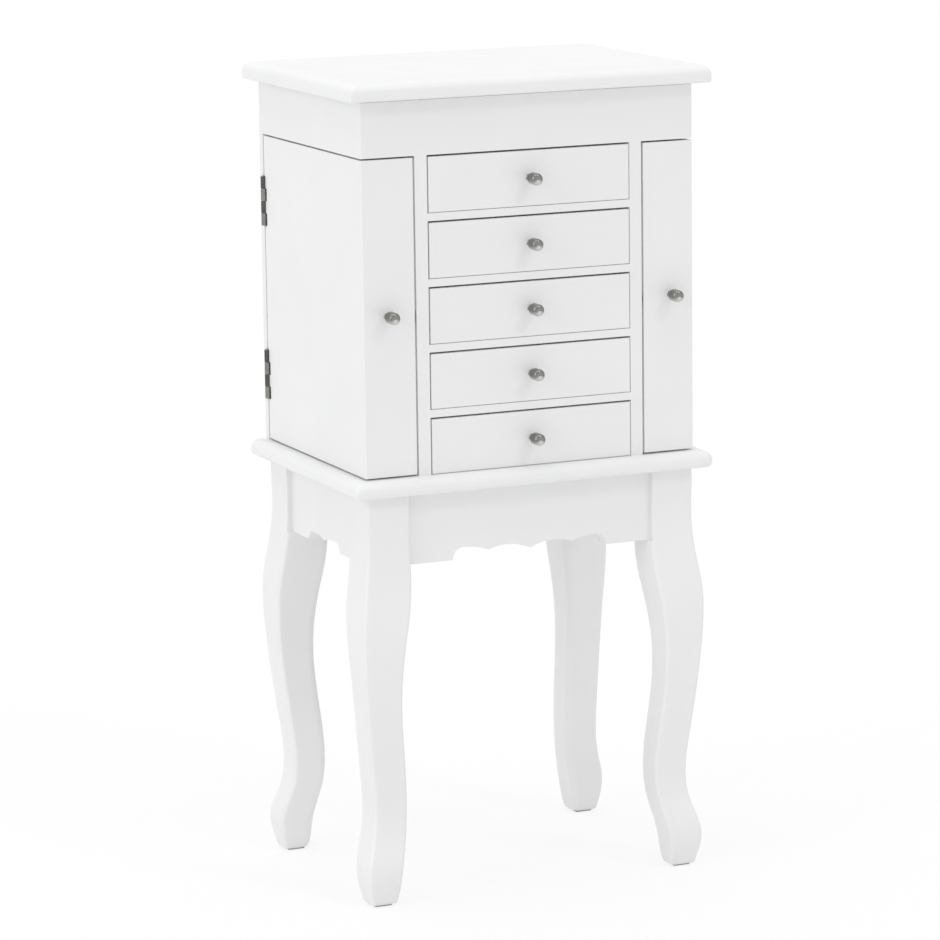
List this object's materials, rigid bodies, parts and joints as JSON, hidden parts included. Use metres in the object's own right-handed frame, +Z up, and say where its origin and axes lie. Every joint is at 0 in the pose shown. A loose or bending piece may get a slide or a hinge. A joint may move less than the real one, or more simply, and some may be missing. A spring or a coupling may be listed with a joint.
{
  "type": "jewelry cabinet",
  "caption": "Free-standing jewelry cabinet on cabriole legs, with a lift-up lid, a stack of small drawers and a swing-out corner door on each side.",
  "frame": {"origin": "on the floor, under the middle of the cabinet", "axes": "+Z is up, +X is the cabinet's right as seen from the front, and the drawers face -Y"},
  "size_m": [0.27, 0.2048, 0.57],
  "materials": {
    "white_paint": "satin white paint",
    "knob_nickel": "dark satin nickel",
    "hinge_nickel": "plated, slightly worn",
    "magnet_steel": "bright plated",
    "mirror": "silvered glass",
    "felt": "short felt",
    "ring_velvet": "velvet over foam",
    "foot_rubber": "matt pale grey"
  },
  "bodies": {
    "cabinet": {"leg_front_right": "white_paint", "leg_front_left": "white_paint", "leg_rear_right": "white_paint", "leg_rear_left": "white_paint", "foot_pads": "foot_rubber", "front_apron": "white_paint", "right_apron": "white_paint", "left_apron": "white_paint", "rear_apron": "white_paint", "corner_blocks": "white_paint", "waist_board": "white_paint", "back_panel": "white_paint", "right_partition": "white_paint", "left_partition": "white_paint", "drawer_shelves": "white_paint", "compartment_floor": "white_paint", "frieze_front": "white_paint", "frieze_right": "white_paint", "frieze_left": "white_paint", "compartment_lining": "felt", "compartment_divider": "white_paint", "ring_rolls": "ring_velvet", "lid_bumpers": "foot_rubber", "door_magnets": "magnet_steel", "door_hinge_fixed_leaves": "hinge_nickel", "lid_hinge_fixed_leaves": "hinge_nickel"},
    "lid": {"lid_board": "white_paint", "mirror_glass": "mirror", "mirror_frame": "white_paint", "lid_hinge_leaves": "hinge_nickel"},
    "left_door": {"left_door_side_panel": "white_paint", "left_door_front_panel": "white_paint", "left_door_knob": "knob_nickel", "left_door_hinge_leaves": "hinge_nickel", "left_door_catch_plate": "magnet_steel", "left_door_necklace_hooks": "knob_nickel"},
    "right_door": {"right_door_side_panel": "white_paint", "right_door_front_panel": "white_paint", "right_door_knob": "knob_nickel", "right_door_hinge_leaves": "hinge_nickel", "right_door_catch_plate": "magnet_steel", "right_door_necklace_hooks": "knob_nickel"},
    "drawer_1": {"drawer_1_front": "white_paint", "drawer_1_box": "white_paint", "drawer_1_knob": "knob_nickel"},
    "drawer_2": {"drawer_2_front": "white_paint", "drawer_2_box": "white_paint", "drawer_2_knob": "knob_nickel"},
    "drawer_3": {"drawer_3_front": "white_paint", "drawer_3_box": "white_paint", "drawer_3_knob": "knob_nickel"},
    "drawer_4": {"drawer_4_front": "white_paint", "drawer_4_box": "white_paint", "drawer_4_knob": "knob_nickel"},
    "drawer_5": {"drawer_5_front": "white_paint", "drawer_5_box": "white_paint", "drawer_5_knob": "knob_nickel"}
  },
  "joints": [
    {"name": "lid_hinge", "type": "hinge", "parent": "cabinet", "child": "lid", "pos_m": [0, 0.0952, 0.5557], "axis": [-1, 0, 0], "range_deg": [0, 110]},
    {"name": "left_door_hinge", "type": "hinge", "parent": "cabinet", "child": "left_door", "pos_m": [-0.1243, 0.08815, 0.40992], "axis": [0, 0, -1], "range_deg": [0, 120]},
    {"name": "right_door_hinge", "type": "hinge", "parent": "cabinet", "child": "right_door", "pos_m": [0.1243, 0.08815, 0.40992], "axis": [0, 0, 1], "range_deg": [0, 120]},
    {"name": "drawer_1_slide", "type": "slide", "parent": "cabinet", "child": "drawer_1", "axis": [0, -1, 0], "range_m": [0, 0.115]},
    {"name": "drawer_2_slide", "type": "slide", "parent": "cabinet", "child": "drawer_2", "axis": [0, -1, 0], "range_m": [0, 0.115]},
    {"name": "drawer_3_slide", "type": "slide", "parent": "cabinet", "child": "drawer_3", "axis": [0, -1, 0], "range_m": [0, 0.115]},
    {"name": "drawer_4_slide", "type": "slide", "parent": "cabinet", "child": "drawer_4", "axis": [0, -1, 0], "range_m": [0, 0.115]},
    {"name": "drawer_5_slide", "type": "slide", "parent": "cabinet", "child": "drawer_5", "axis": [0, -1, 0], "range_m": [0, 0.115]}
  ]
}
